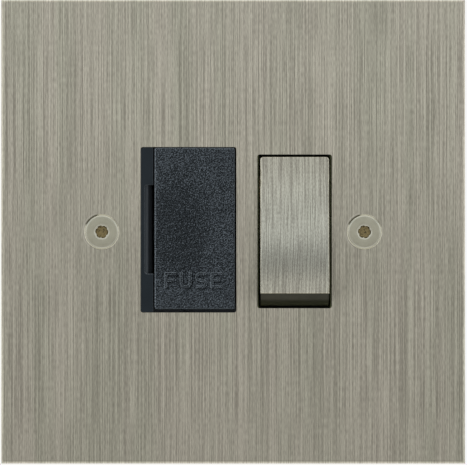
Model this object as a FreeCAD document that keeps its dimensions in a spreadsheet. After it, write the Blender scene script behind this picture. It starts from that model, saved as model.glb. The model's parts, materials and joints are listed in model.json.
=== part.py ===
import FreeCAD, Part
import os
import re
import Sketcher

# Fused spur unit: flat metal plate, pull-out fuse carrier, double-pole rocker switch and a base with six
# terminals. X runs to the right, Z up and Y into the wall. The plate's back lies on the wall at Y = 0, and
# the origin is midway between the two fixing screws.

Vector = FreeCAD.Vector
Rotation = FreeCAD.Rotation

X_AXIS = Vector(1, 0, 0)
TURN = {"x": Rotation(Vector(0, 1, 0), 90), "y": Rotation(Vector(1, 0, 0), -90), "z": Rotation()}

doc = FreeCAD.newDocument("FusedSpurUnit")

# Driving dimensions in millimetres and degrees
SIZES = {
    "plate_size": 106.5,
    "plate_thickness": 3.0,
    "plate_edge": 0.8,
    "screw_spacing": 60.3,
    "screw_shank_radius": 1.75,
    "screw_neck_radius": 1.55,
    "screw_hole_radius": 1.95,
    "screw_head_radius": 3.85,
    "screw_rim_width": 0.28,
    "screw_rim_depth": 0.15,
    "screw_length": 25.0,
    "drive_radius": 1.1,
    "drive_lobe": 0.4,
    "drive_depth": 1.2,
    "seat_clearance": 0.03,
    "fuse_opening_x": -10.26,
    "fuse_opening_z": 0.47,
    "fuse_opening_width": 22.0,
    "fuse_opening_height": 38.0,
    "rocker_opening_x": 14.1,
    "rocker_opening_z": 0.1,
    "rocker_opening_width": 17.1,
    "rocker_opening_height": 35.3,
    "opening_corner": 0.55,
    "side_gap": 2.9,
    "end_cover": 1.4,
    "wall": 2.0,
    "rear_wall": 2.5,
    "front_wall": 2.5,
    "fit_gap": 0.1,
    "band_width": 2.9,
    "slot_width": 2.0,
    "slot_height": 20.4,
    "slot_depth": 4.0,
    "slot_rise": 0.1,
    "slot_corner": 0.6,
    "slot_lip": 0.15,
    "lid_thickness": 3.0,
    "lid_proud": 0.25,
    "lid_gap_side": 0.35,
    "lid_gap_top": 0.15,
    "lid_gap_bottom": 0.78,
    "lid_corner": 0.5,
    "lid_edge": 0.3,
    "nub_place": 6.8,
    "nub_width": 1.8,
    "nub_height": 0.42,
    "skirt_thickness": 1.4,
    "skirt_height": 28.0,
    "skirt_depth": 11.5,
    "arm_width": 7.0,
    "arm_depth": 19.5,
    "arm_lug": 0.8,
    "lug_depth": 1.5,
    "carrier_travel": 16.0,
    "cradle_width": 10.0,
    "cradle_height": 11.0,
    "cradle_grip": 1.2,
    "end_wall": 1.5,
    "fuse_axis": 9.5,
    "fuse_length": 25.4,
    "fuse_cap_radius": 3.175,
    "fuse_cap_length": 5.5,
    "fuse_cap_wall": 0.3,
    "fuse_body_radius": 2.85,
    "clip_thickness": 0.8,
    "clip_gap": 0.12,
    "clip_height": 4.4,
    "clip_flare": 0.8,
    "clip_lip": 1.4,
    "letter_height": 3.56,
    "letter_width": 2.6,
    "letter_pitch": 3.53,
    "letter_stroke": 0.55,
    "letter_rise": 0.2,
    "letter_left": 2.3,
    "letter_bottom": 4.85,
    "rocker_tilt": 10.0,
    "rocker_rise": 8.84,
    "rocker_dish": 0.9,
    "rocker_proud": 0.6,
    "rocker_end_gap": 0.48,
    "rocker_side_gap": 0.65,
    "rocker_swing_gap": 0.42,
    "rocker_side_step": 0.12,
    "rocker_wall": 1.5,
    "rocker_skirt": 2.6,
    "cap_thickness": 0.9,
    "cap_corner": 0.7,
    "cap_edge": 0.35,
    "trunnion_radius": 1.5,
    "trunnion_length": 2.0,
    "bearing_gap": 0.06,
    "cheek_gap": 0.4,
    "ledge_reach": 2.0,
    "side_ledge_reach": 1.0,
    "ledge_thickness": 1.5,
    "pole_spacing": 8.4,
    "stem_radius": 2.4,
    "stem_reach": 11.5,
    "bore_floor": -1.0,
    "plunger_radius": 1.5,
    "plunger_back": 8.5,
    "plunger_neck": 14.4,
    "plunger_reach": 15.55,
    "plunger_tip_radius": 1.2,
    "plunger_gap": 0.1,
    "spring_radius": 1.15,
    "spring_wire": 0.2,
    "spring_turns": 7.0,
    "lever_tilt": 8.0,
    "lever_width": 4.0,
    "lever_thickness": 0.8,
    "lever_up": 10.5,
    "lever_down": 6.5,
    "lever_lip": 1.0,
    "knife_gap": 0.1,
    "knife_half": 1.5,
    "contact_radius": 1.5,
    "contact_thickness": 0.6,
    "contact_place": 8.5,
    "contact_gap": 0.1,
    "fixed_contact_height": 1.115,
    "strip_thickness": 0.8,
    "strip_width": 4.0,
    "terminal_width": 7.0,
    "terminal_depth": 9.0,
    "terminal_inner": 19.8,
    "terminal_height": 7.3,
    "terminal_gap": 0.1,
    "cavity_ledge": 1.0,
    "wire_radius": 2.0,
    "wire_depth": 3.0,
    "wire_entry_radius": 2.6,
    "clamp_radius": 1.7,
    "clamp_head_radius": 2.6,
    "clamp_head_height": 1.8,
    "clamp_access_radius": 3.0,
    "clamp_backed_off": 0.1,
    "thread_gap": 0.05,
    "slot_cut": 0.8,
    "earth_load_x": -19.3,
    "earth_supply_x": -8.8,
    "barrier": 1.0,
    "barrier_reach": 3.0,
    "ear_x": 14.0,
    "ear_width": 8.0,
    "ear_height": 6.0,
    "ear_thickness": 2.5,
    "plate_screw_radius": 1.2,
    "plate_screw_head": 1.9,
    "plate_screw_depth": 1.8,
    "plate_screw_rise": 1.6,
    "strap_width": 3.0,
    "strap_gap": 0.2,
    "assembly_radius": 1.2,
    "assembly_head": 2.4,
    "assembly_head_height": 1.6,
    "assembly_depth": 7.0,
    "assembly_row": 23.5,
    "assembly_top_x": 5.0,
    "assembly_bottom_x": 0.6,
    "core_edge": 6.0,
    "core_step": 8.0,
    "core_width": 6.4,
    "core_height": 5.0,
}

sheet = doc.addObject("Spreadsheet::Sheet", "Sizes")
for row, (word, size) in enumerate(SIZES.items(), 1):
    sheet.set(f"A{row}", word)
    sheet.set(f"B{row}", str(size))
    sheet.setAlias(f"B{row}", word)
doc.recompute()

# Places worked out from the sizes, in the same words
PLACES = {
    "plate_front": "-plate_thickness",
    "half_plate": "plate_size / 2",
    "countersink_radius": "screw_head_radius + screw_rim_depth",
    "screw_x": "screw_spacing / 2",
    "half_width": "screw_x - screw_shank_radius - side_gap",
    "opening_left": "fuse_opening_x - fuse_opening_width / 2",
    "opening_right": "fuse_opening_x + fuse_opening_width / 2",
    "opening_low": "fuse_opening_z - fuse_opening_height / 2",
    "opening_high": "fuse_opening_z + fuse_opening_height / 2",
    "well_left": "opening_left + band_width",
    "slot_z": "fuse_opening_z + slot_rise",
    "lid_left": "well_left + lid_gap_side",
    "lid_right": "opening_right - lid_gap_side",
    "lid_low": "opening_low + lid_gap_bottom",
    "lid_high": "opening_high - lid_gap_top",
    "lid_front": "plate_front - lid_proud",
    "lid_back": "lid_front + lid_thickness",
    "fuse_x": "(lid_left + lid_right) / 2",
    "fuse_z": "(lid_low + lid_high) / 2",
    "fuse_end": "fuse_length / 2",
    "clip_inner": "fuse_cap_radius + clip_gap",
    "clip_outer": "clip_inner + clip_thickness",
    "clip_offset": "(fuse_length - fuse_cap_length) / 2",
    "arm_back": "lid_back + arm_depth",
    "stop": "arm_back - lug_depth - carrier_travel - fit_gap",
    "rocker_radius": "rocker_opening_height / 2 - rocker_swing_gap",
    "rocker_reach": "rocker_opening_height / 2 - rocker_end_gap",
    "rocker_half": "(rocker_reach - rocker_rise * sin(rocker_tilt)) / cos(rocker_tilt)",
    "cap_half": "rocker_opening_width / 2 - rocker_side_gap",
    "body_half": "cap_half - rocker_side_step",
    "cheek_half": "body_half + cheek_gap",
    "pivot_y": "plate_front - rocker_proud - rocker_half * sin(rocker_tilt)"
               " + rocker_rise * cos(rocker_tilt)",
    "dish_radius": "(rocker_half * rocker_half + rocker_dish * rocker_dish) / (2 * rocker_dish)",
    "dish_axis": "rocker_dish - rocker_rise - dish_radius",
    "lever_y": "pivot_y + plunger_reach + plunger_tip_radius + plunger_gap + lever_thickness",
    "well_low": "rocker_opening_z - rocker_opening_height / 2 - cheek_gap",
    "well_high": "rocker_opening_z + rocker_opening_height / 2 + cheek_gap",
    "lid_ledge_front": "lid_back + cheek_gap",
    "side_ledge_front": "lid_back + skirt_depth + cheek_gap",
    "ledge_front": "pivot_y + rocker_radius * sin(rocker_tilt) + rocker_skirt + cheek_gap",
    "contact_front": "lever_y + contact_thickness * cos(lever_tilt)"
                     " + (contact_place + contact_radius) * sin(lever_tilt) + contact_gap",
    "contact_z": "rocker_opening_z + contact_place",
    "strip_front": "contact_front + fixed_contact_height",
    "floor": "strip_front + strip_thickness",
    "back": "floor + rear_wall",
    "live_x": "rocker_opening_x - pole_spacing / 2",
    "neutral_x": "rocker_opening_x + pole_spacing / 2",
    "terminal_front": "floor - terminal_depth",
    "wire_axis": "terminal_front + wire_depth",
    "front_depth": "terminal_front - strip_thickness - strap_gap",
    "terminal_outer": "terminal_inner + terminal_height",
    "half_height": "terminal_outer + end_cover",
    "ear_z": "half_height + ear_height / 2",
    "assembly_head_back": "back - fit_gap",
}
WORD = re.compile(r"[a-z_]+(?:_[a-z]+)*")


def spell(text):
    """Put the sheet's name before each size, and write each place out in sizes."""
    def swap(found):
        word = found.group()
        if word in SIZES:
            return "Sizes." + word
        if word in PLACES:
            return "(" + spell(PLACES[word]) + ")"
        return word
    return WORD.sub(swap, str(text))


def bind(item, prop, text):
    item.setExpression(prop, spell(text))


def value(text):
    """The number that a text of sizes and places comes to."""
    found = sheet.evalExpression(spell(text))
    return float(getattr(found, "Value", found))


def move(item, x="0", y="0", z="0"):
    for letter, text in zip("xyz", (x, y, z)):
        bind(item, "Placement.Base." + letter, text)
    return item


def block(name, x, y, z):
    """A box given by its low and high end along each axis."""
    item = doc.addObject("Part::Box", name)
    for prop, (low, high) in zip(("Length", "Width", "Height"), (x, y, z)):
        bind(item, prop, f"({high}) - ({low})")
    return move(item, x[0], y[0], z[0])


def rod(name, way, radius, low, high, x="0", y="0", z="0"):
    """A cylinder along one axis, from low to high."""
    item = doc.addObject("Part::Cylinder", name)
    bind(item, "Radius", radius)
    bind(item, "Height", f"({high}) - ({low})")
    item.Placement.Rotation = TURN[way]
    place = {"x": x, "y": y, "z": z, way: low}
    return move(item, **place)


def cone(name, radius, end_radius, low, high, x="0", z="0"):
    """A cone along Y, with one radius at its low end and another at its high end."""
    item = doc.addObject("Part::Cone", name)
    bind(item, "Radius1", radius)
    bind(item, "Radius2", end_radius)
    bind(item, "Height", f"({high}) - ({low})")
    item.Placement.Rotation = TURN["y"]
    return move(item, x, low, z)


def fuse(name, items):
    item = doc.addObject("Part::MultiFuse", name)
    item.Shapes = items
    item.Refine = True
    return item


def common(name, items):
    item = doc.addObject("Part::MultiCommon", name)
    item.Shapes = items
    return item


def cut(name, base, tools):
    item = doc.addObject("Part::Cut", name)
    item.Base = base
    item.Tool = tools[0] if len(tools) == 1 else fuse(name + "Away", tools)
    item.Refine = True
    return item


def group(name, items):
    item = doc.addObject("Part::Compound", name)
    item.Links = items
    return item


def rounded(name, base, radius, wanted):
    """Round the edges that a test picks, by a size from the sheet."""
    doc.recompute()
    item = doc.addObject("Part::Fillet", name)
    item.Base = base
    size = value(radius)
    picked = [number for number, edge in enumerate(base.Shape.Edges, 1) if wanted(edge)]
    item.Edges = [(number, size, size) for number in picked]
    return item


def runs_along(edge, way):
    """Whether an edge is straight and lies along X, Y or Z."""
    if not isinstance(edge.Curve, Part.Line):
        return False
    return abs(abs(getattr(edge.Curve.Direction, way)) - 1) < 1e-6


def near(number, text):
    return abs(number - value(text)) < 1e-4


nodes = {}


def node(name, item):
    """Name a finished piece."""
    item.Label = name
    nodes[name] = item
    return item


def plane_sketch(body, name, plane, shift=("0", "0", "0")):
    sketch = body.newObject("Sketcher::SketchObject", name)
    support = [item for item in body.Origin.OriginFeatures if item.Role == plane][0]
    sketch.AttachmentSupport = [(support, "")]
    sketch.MapMode = "FlatFace"
    for letter, text in zip("xyz", shift):
        bind(sketch, "AttachmentOffset.Base." + letter, text)
    return sketch


def polygon(sketch, points):
    """A closed outline whose corners are each held by two bound distances."""
    spots = [Vector(value(across), value(up), 0) for across, up in points]
    first = sketch.GeometryCount
    for number, spot in enumerate(spots):
        sketch.addGeometry(Part.LineSegment(spot, spots[(number + 1) % len(spots)]), False)
    for number in range(len(spots)):
        after = (number + 1) % len(spots)
        sketch.addConstraint(Sketcher.Constraint("Coincident", first + number, 2, first + after, 1))
    for number, (spot, texts) in enumerate(zip(spots, points)):
        for kind, size, text in zip(("DistanceX", "DistanceY"), (spot.x, spot.y), texts):
            held = sketch.addConstraint(Sketcher.Constraint(kind, -1, 1, first + number, 1, size))
            bind(sketch, f"Constraints[{held}]", text)


def rectangle(sketch, left, right, low, high):
    polygon(sketch, [(left, low), (right, low), (right, high), (left, high)])


def pad(body, sketch, length):
    feature = body.newObject("PartDesign::Pad", sketch.Name + "Pad")
    feature.Profile = sketch
    bind(feature, "Length", length)
    doc.recompute()
    return feature


def strip(name, plane, points, length, low):
    """A plate cut to an outline that lies in the plane: it grows from low along the plane's normal."""
    body = doc.addObject("PartDesign::Body", name)
    sketch = plane_sketch(body, name + "Outline", plane, ("0", "0", low))
    polygon(sketch, points)
    pad(body, sketch, length)
    return body


def front_plate():
    body = doc.addObject("PartDesign::Body", "FrontPlate")
    outline = plane_sketch(body, "PlateOutline", "XZ_Plane")
    rectangle(outline, "-half_plate", "half_plate", "-half_plate", "half_plate")
    pad(body, outline, "plate_thickness")

    openings = plane_sketch(body, "PlateOpenings", "XZ_Plane")
    rectangle(openings, "opening_left", "opening_right", "opening_low", "opening_high")
    rectangle(
        openings,
        "rocker_opening_x - rocker_opening_width / 2",
        "rocker_opening_x + rocker_opening_width / 2",
        "rocker_opening_z - rocker_opening_height / 2",
        "rocker_opening_z + rocker_opening_height / 2",
    )
    pocket = body.newObject("PartDesign::Pocket", "OpeningPocket")
    pocket.Profile = openings
    pocket.Reversed = True
    bind(pocket, "Length", "plate_thickness")
    doc.recompute()

    # A countersunk hole is turned about the screw's axis, then mirrored to the other screw
    hole = plane_sketch(body, "HoleProfile", "XY_Plane", ("screw_x", "0", "0"))
    sink = "countersink_radius + seat_clearance"
    polygon(hole, [
        ("0", "0"),
        ("screw_hole_radius", "0"),
        ("screw_hole_radius", f"plate_front + {sink} - screw_hole_radius"),
        (sink, "plate_front"),
        ("0", "plate_front"),
    ])
    groove = body.newObject("PartDesign::Groove", "Countersink")
    groove.Profile = hole
    groove.ReferenceAxis = (hole, ["V_Axis"])
    groove.Angle = 360
    doc.recompute()
    mirror = body.newObject("PartDesign::Mirrored", "OtherCountersink")
    mirror.Originals = [groove]
    side = [item for item in body.Origin.OriginFeatures if item.Role == "YZ_Plane"][0]
    mirror.MirrorPlane = (side, [""])
    body.Tip = mirror

    blind = plane_sketch(body, "PlateScrewHoles", "XZ_Plane")
    for across in (-1, 1):
        for up in (-1, 1):
            spot = (f"{across} * ear_x", f"{up} * ear_z")
            centre = Vector(value(spot[0]), value(spot[1]), 0)
            ring = blind.addGeometry(Part.Circle(centre, Vector(0, 0, 1), 1), False)
            held = blind.addConstraint(Sketcher.Constraint("Radius", ring, 1.0))
            bind(blind, f"Constraints[{held}]", "plate_screw_radius + thread_gap")
            for kind, text in zip(("DistanceX", "DistanceY"), spot):
                held = blind.addConstraint(Sketcher.Constraint(kind, -1, 1, ring, 3, value(text)))
                bind(blind, f"Constraints[{held}]", text)
    tapped = body.newObject("PartDesign::Pocket", "TappedHoles")
    tapped.Profile = blind
    tapped.Reversed = True
    bind(tapped, "Length", "plate_screw_depth + 2 * thread_gap")
    doc.recompute()

    corners = body.newObject("PartDesign::Fillet", "OpeningCorners")
    upright = [
        f"Edge{number}" for number, edge in enumerate(tapped.Shape.Edges, 1)
        if runs_along(edge, "y") and abs(edge.Vertexes[0].X) < value("half_plate") - 1
    ]
    corners.Base = (tapped, upright)
    bind(corners, "Radius", "opening_corner")
    doc.recompute()

    rim = body.newObject("PartDesign::Fillet", "PlateEdge")
    outside = [
        f"Edge{number}" for number, edge in enumerate(corners.Shape.Edges, 1)
        if near(edge.CenterOfMass.y, "plate_front")
        and max(abs(edge.CenterOfMass.x), abs(edge.CenterOfMass.z)) > value("half_plate") - 0.01
    ]
    rim.Base = (corners, outside)
    bind(rim, "Radius", "plate_edge")
    return node("front_plate", body)


def fixing_screw(name, x):
    """A countersunk screw along Y: six-lobed recess, plain neck in the plate and thread behind it."""
    top = "plate_front"
    wide = "plate_front + screw_rim_depth"
    under = f"{wide} + screw_head_radius - screw_neck_radius"
    rim = cone(name + "Rim", "screw_head_radius - screw_rim_width", "screw_head_radius", top, wide, x)
    head = cone(name + "Head", "screw_head_radius", "screw_neck_radius", wide, under, x)
    neck = rod(name + "Neck", "y", "screw_neck_radius", under, "0", x)
    thread = rod(name + "Thread", "y", "screw_shank_radius", "0", "plate_front + screw_length", x)
    low, high = top, f"{top} + drive_depth"
    lobes = [rod(name + "Drive", "y", "drive_radius", low, high, x)]
    for turn in range(6):
        angle = f"{turn * 60}"
        lobes.append(rod(f"{name}Lobe{turn}", "y", "drive_lobe", low, high,
                         f"{x} + drive_radius * cos({angle})", z=f"drive_radius * sin({angle})"))
    return cut(name, fuse(name + "Solid", [rim, head, neck, thread]), lobes)


def pan_screw(name, way, radius, head_radius, low, seat, high, x, z, turned=False):
    """A slotted screw along Y whose head lies between seat and high."""
    shank = rod(name + "Shank", way, radius, low, seat, x, z=z)
    head = rod(name + "Head", way, head_radius, seat, high, x, z=z)
    deep = f"{high} - slot_cut"
    across = (f"{x} - {head_radius}", f"{x} + {head_radius}")
    narrow = (f"{z} - slot_cut / 2", f"{z} + slot_cut / 2")
    if turned:
        across = (f"{x} - slot_cut / 2", f"{x} + slot_cut / 2")
        narrow = (f"{z} - {head_radius}", f"{z} + {head_radius}")
    groove = block(name + "Slot", across, (deep, high), narrow)
    return cut(name, fuse(name + "Solid", [shank, head]), [groove])


TERMINALS = [
    ("earth_load_terminal", "earth_load_x", 1),
    ("earth_supply_terminal", "earth_supply_x", 1),
    ("neutral_load_terminal", "neutral_x", 1),
    ("live_load_terminal", "fuse_x", -1),
    ("live_supply_terminal", "live_x", -1),
    ("neutral_supply_terminal", "neutral_x", -1),
]

ASSEMBLY_SCREWS = [("assembly_top_x", 1), ("assembly_bottom_x", -1), ("earth_load_x", -1)]

# Cored-out pockets of the moulding, counted in steps from its left and right edge
CORES = [
    ("-half_width + core_edge", 1), ("-half_width + core_edge + core_step", 1),
    ("-half_width + core_edge + 2 * core_step", 1), ("half_width - core_edge - core_step", 1),
    ("half_width - core_edge", 1), ("-half_width + core_edge + core_step", -1),
    ("half_width - core_edge - core_step", -1), ("half_width - core_edge", -1),
]


def signed(side, low, high):
    """A span on the top side, or the same one mirrored to the bottom side."""
    if side > 0:
        return low, high
    return f"-({high})", f"-({low})"


def left_corner(left):
    """A test for the edges that run into the wall at a block's left side."""
    return lambda edge: runs_along(edge, "y") and near(edge.CenterOfMass.x, left)


def fuse_well():
    """The space for the carrier, less a ledge behind the lid's low end and one behind its right skirt."""
    wide = ("well_left", "opening_right")
    ledges = [
        block("LidLedge", wide, ("lid_ledge_front", "lid_ledge_front + ledge_thickness"),
              ("opening_low", "opening_low + ledge_reach")),
        block("SideLedge", ("opening_right - side_ledge_reach", "opening_right"),
              ("side_ledge_front", "side_ledge_front + ledge_thickness"), ("opening_low", "opening_high")),
    ]
    return cut("FuseWell", block("FuseWellBlock", wide, ("-1", "front_depth + 1"),
                                 ("opening_low", "opening_high")), ledges)


def rocker_well():
    """The space for the rocker, less a ledge behind each of its ends that closes the view past them."""
    wide = ("rocker_opening_x - cheek_half", "rocker_opening_x + cheek_half")
    ledge_deep = ("ledge_front", "ledge_front + ledge_thickness")
    ledges = [
        block("LowLedge", wide, ledge_deep, ("well_low", "well_low + ledge_reach")),
        block("HighLedge", wide, ledge_deep, ("well_high - ledge_reach", "well_high")),
    ]
    return cut("RockerWell", block("WellBlock", wide, ("-1", "front_depth + 1"), ("well_low", "well_high")),
               ledges)


def front_moulding():
    solid = block("MouldingBlock", ("-half_width", "half_width"), ("0", "front_depth"),
                  ("-half_height", "half_height"))
    band = block("Band", ("opening_left + fit_gap", "well_left"), ("plate_front + fit_gap", "front_wall"),
                 ("opening_low + fit_gap", "opening_high - fit_gap"))
    soft_band = rounded("SoftBand", band, "opening_corner", left_corner("opening_left + fit_gap"))
    # The lever slot's floor rolls over at a shallow left lip and falls away towards the lid, as a quarter
    # of an ellipse does
    slot_left = "well_left - slot_width"
    slot_deep = ("plate_front - 1", "plate_front + slot_depth")
    slot_low = "slot_z - slot_height / 2"
    slot_tall = (slot_low, "slot_z + slot_height / 2")
    slot_block = block("SlotBlock", (slot_left, "well_left + 1"), slot_deep, slot_tall)
    soft_block = rounded("SoftSlotBlock", slot_block, "slot_corner", left_corner(slot_left))
    slot_floor = [(slot_left, "plate_front - 1")]
    for share in (0, 0.25, 0.45, 0.62, 0.77, 0.9, 1):
        fall = f"(1 - sqrt(1 - {share} * {share}))"
        slot_floor.append((f"{slot_left} + {share} * slot_width",
                           f"plate_front + slot_lip + (slot_depth - slot_lip) * {fall}"))
    slot_floor += [("well_left + 1", "plate_front + slot_depth"), ("well_left + 1", "plate_front - 1")]
    ramp = strip("SlotRamp", "XY_Plane", slot_floor, "slot_height", slot_low)
    ears = []
    for number, (across, side) in enumerate([(-1, 1), (1, 1), (-1, -1), (1, -1)]):
        middle = f"{across} * ear_x"
        wide = (f"{middle} - ear_width / 2", f"{middle} + ear_width / 2")
        tall = signed(side, "half_height - wall", "half_height + ear_height")
        ears.append(block(f"Ear{number}", wide, ("0", "ear_thickness"), tall))
    away = [
        fuse_well(),
        rocker_well(),
        common("LeverSlot", [soft_block, ramp]),
        block("LugChannel", ("lid_left - arm_lug - fit_gap * 2", "lid_right + arm_lug + fit_gap * 2"),
              ("stop", "front_depth + 1"),
              ("fuse_z - arm_width / 2 - cheek_gap", "fuse_z + arm_width / 2 + cheek_gap")),
        rod("Bearings", "x", "trunnion_radius + bearing_gap",
            "rocker_opening_x - body_half - trunnion_length - cheek_gap",
            "rocker_opening_x + body_half + trunnion_length + cheek_gap",
            y="pivot_y", z="rocker_opening_z"),
    ]
    for number, (middle, side) in enumerate(CORES):
        away.append(block(f"Core{number}", (f"{middle} - core_width / 2", f"{middle} + core_width / 2"),
                          ("front_wall", "front_depth + 1"),
                          signed(side, "half_height - wall - core_height", "half_height - wall")))
    for number, (across, side) in enumerate([(-1, 1), (1, 1), (-1, -1), (1, -1)]):
        away.append(rod(f"EarHole{number}", "y", "plate_screw_radius + thread_gap",
                        "-1", "ear_thickness + 1", f"{across} * ear_x", z=f"{side} * ear_z"))
    for number, (middle, side) in enumerate(ASSEMBLY_SCREWS):
        away.append(rod(f"MouldingHole{number}", "y", "assembly_radius + thread_gap",
                        "assembly_depth - fit_gap", "front_depth + 1", middle, z=f"{side} * assembly_row"))
    solids = fuse("MouldingSolid", [solid, soft_band] + ears)
    return node("front_moulding", cut("FrontMoulding", solids, away))


def rear_base():
    solid = block("BaseBlock", ("-half_width", "half_width"), ("front_depth", "back"),
                  ("-half_height", "half_height"))
    ledge = "terminal_inner - cavity_ledge"
    away = [block("Cavity", ("-half_width + wall", "half_width - wall"), ("front_depth - 1", "floor"),
                  (f"-({ledge})", ledge))]
    for name, middle, side in TERMINALS:
        half = "(terminal_width / 2 + terminal_gap)"
        away.append(block(name + "_pocket", (f"{middle} - {half}", f"{middle} + {half}"),
                          ("front_depth - 1", "floor"),
                          signed(side, f"{ledge} - 1", "terminal_outer + terminal_gap")))
        away.append(rod(name + "_access", "y", "clamp_access_radius", "floor - 1", "back + 1", middle,
                        z=f"{side} * (terminal_inner + terminal_height / 2)"))
        low, high = signed(side, "terminal_outer - 1", "half_height + 1")
        away.append(rod(name + "_entry", "z", "wire_entry_radius", low, high, middle, "wire_axis"))
    strap_deep = ("front_depth - 1", "terminal_front + fit_gap")
    earth_wide = ("earth_load_x - terminal_width / 2", "earth_supply_x + terminal_width / 2")
    earth_tall = ("terminal_inner", "terminal_outer + terminal_gap")
    away.append(block("EarthPocket", earth_wide, strap_deep, earth_tall))
    strap = "(earth_load_x + earth_supply_x) / 2"
    half = "(strap_width / 2 + strap_gap)"
    notch_wide = (f"{strap} - {half}", f"{strap} + {half}")
    away.append(block("StrapNotch", notch_wide, strap_deep, ("terminal_outer", "half_height + 1")))
    for number, (middle, side) in enumerate(ASSEMBLY_SCREWS):
        up = f"{side} * assembly_row"
        away.append(rod(f"BaseHole{number}", "y", "assembly_radius + thread_gap", "front_depth - 1",
                        "back + 1", middle, z=up))
        away.append(rod(f"BaseSink{number}", "y", "assembly_head + fit_gap * 2",
                        "assembly_head_back - assembly_head_height", "back + 1", middle, z=up))
    rib = block("PoleBarrier", ("rocker_opening_x - barrier / 2", "rocker_opening_x + barrier / 2"),
                ("lever_y - lever_thickness - barrier_reach", "floor"), (f"-({ledge})", ledge))
    return node("rear_base", fuse("RearBase", [cut("BaseShell", solid, away), rib]))


def letters():
    """The raised word on the lid: straight bars, and half rings for the round strokes."""
    tall = value("letter_height")
    wide = value("letter_width")
    stroke = value("letter_stroke")
    rise = value("letter_rise")
    pitch = value("letter_pitch")
    left = value("lid_left + letter_left")
    low = value("lid_low + letter_bottom")
    front = value("lid_front") - rise
    deep = rise + value("lid_thickness") / 2

    def bar(x, z, width, height):
        return Part.makeBox(width, deep, height, Vector(left + x, front, low + z))

    def half_ring(x, z, radius, turn):
        centre = Vector(left + x, front, low + z)
        way = Vector(0, 1, 0)
        ring = Part.makeCylinder(radius, deep, centre, way).cut(
            Part.makeCylinder(radius - stroke, deep, centre, way))
        half = Part.makeBox(2 * radius, deep, radius, Vector(-radius, 0, -radius))
        half.rotate(Vector(), way, turn)
        half.translate(centre)
        return ring.common(half)

    def letter_f(x):
        return [bar(x, 0, stroke, tall), bar(x, tall - stroke, wide, stroke),
                bar(x, (tall - stroke) / 2, wide - stroke, stroke)]

    def letter_u(x):
        bend = wide / 2
        return [bar(x, bend, stroke, tall - bend), bar(x + wide - stroke, bend, stroke, tall - bend),
                half_ring(x + bend, bend, bend, 0)]

    def letter_s(x):
        bend = (tall + stroke) / 4
        reach = wide - 2 * bend
        return [half_ring(x + bend, tall - bend, bend, 90), half_ring(x + wide - bend, bend, bend, -90),
                bar(x + bend, tall - stroke, wide - bend - stroke / 2, stroke),
                bar(x + bend, (tall - stroke) / 2, reach, stroke),
                bar(x + stroke / 2, 0, wide - bend - stroke / 2, stroke)]

    def letter_e(x):
        return [bar(x, 0, stroke, tall), bar(x, 0, wide, stroke), bar(x, tall - stroke, wide, stroke),
                bar(x, (tall - stroke) / 2, wide - stroke, stroke)]

    strokes = letter_f(0) + letter_u(pitch) + letter_s(2 * pitch) + letter_e(3 * pitch)
    item = doc.addObject("Part::Feature", "Lettering")
    item.Shape = strokes[0].multiFuse(strokes[1:])
    return item


def fuse_carrier():
    lid = block("Lid", ("lid_left", "lid_right"), ("lid_front", "lid_back"), ("lid_low", "lid_high"))
    corners = rounded("LidCorners", lid, "lid_corner", lambda edge: runs_along(edge, "y"))
    soft_lid = rounded("SoftLid", corners, "lid_edge", lambda edge: near(edge.BoundBox.YMax, "lid_front"))
    nub_middle = "lid_left + nub_place"
    nub = block("Nub", (f"{nub_middle} - nub_width / 2", f"{nub_middle} + nub_width / 2"),
                ("lid_back - lid_thickness / 2", "lid_back"), ("lid_low - nub_height", "lid_low + 1"))
    skirt_z = ("fuse_z - skirt_height / 2", "fuse_z + skirt_height / 2")
    arm_z = ("fuse_z - arm_width / 2", "fuse_z + arm_width / 2")
    lug_y = ("arm_back - lug_depth", "arm_back")
    left = ("lid_left", "lid_left + skirt_thickness")
    right = ("lid_right - skirt_thickness", "lid_right")
    deep = "fuse_axis + cradle_grip"
    wide = ("fuse_x - cradle_width / 2", "fuse_x + cradle_width / 2")
    join = "lid_back - fit_gap"
    pieces = [
        soft_lid,
        nub,
        letters(),
        block("LeftSkirt", left, (join, "lid_back + skirt_depth"), skirt_z),
        block("RightSkirt", right, (join, "lid_back + skirt_depth"), skirt_z),
        block("LeftArm", left, (join, "arm_back"), arm_z),
        block("RightArm", right, (join, "arm_back"), arm_z),
        block("LeftLug", ("lid_left - arm_lug", "lid_left + 1"), lug_y, arm_z),
        block("RightLug", ("lid_right - 1", "lid_right + arm_lug"), lug_y, arm_z),
        block("Cradle", wide, (join, deep), ("fuse_z - cradle_height / 2", "fuse_z + cradle_height / 2")),
    ]
    for side, name in ((1, "UpperEnd"), (-1, "LowerEnd")):
        near_end, far_end = signed(side, "fuse_end + fit_gap * 2", "fuse_end + fit_gap * 2 + end_wall")
        pieces.append(block(name, wide, (join, deep), (f"fuse_z + {near_end}", f"fuse_z + {far_end}")))
    groove = rod("FuseGroove", "z", "fuse_body_radius + fit_gap", "fuse_z - fuse_end", "fuse_z + fuse_end",
                 "fuse_x", "fuse_axis")
    return node("fuse_carrier", cut("FuseCarrier", fuse("CarrierSolid", pieces), [groove]))


def cartridge_fuse():
    inset = "fuse_end - fuse_cap_wall"
    body = rod("FuseBarrel", "z", "fuse_body_radius", f"fuse_z - ({inset})", f"fuse_z + {inset}",
               "fuse_x", "fuse_axis")
    node("fuse_body", body)
    for side, name in ((1, "upper"), (-1, "lower")):
        low, high = signed(side, "fuse_end - fuse_cap_length", "fuse_end")
        cup = rod(f"Cap{name}Cup", "z", "fuse_cap_radius", f"fuse_z + {low}", f"fuse_z + {high}",
                  "fuse_x", "fuse_axis")
        low, high = signed(side, "fuse_end - fuse_cap_length - 1", inset)
        hollow = rod(f"Cap{name}Hollow", "z", "fuse_body_radius + seat_clearance / 3", f"fuse_z + {low}",
                     f"fuse_z + {high}", "fuse_x", "fuse_axis")
        node(f"fuse_cap_{name}", cut(f"FuseCap{name}", cup, [hollow]))


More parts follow.
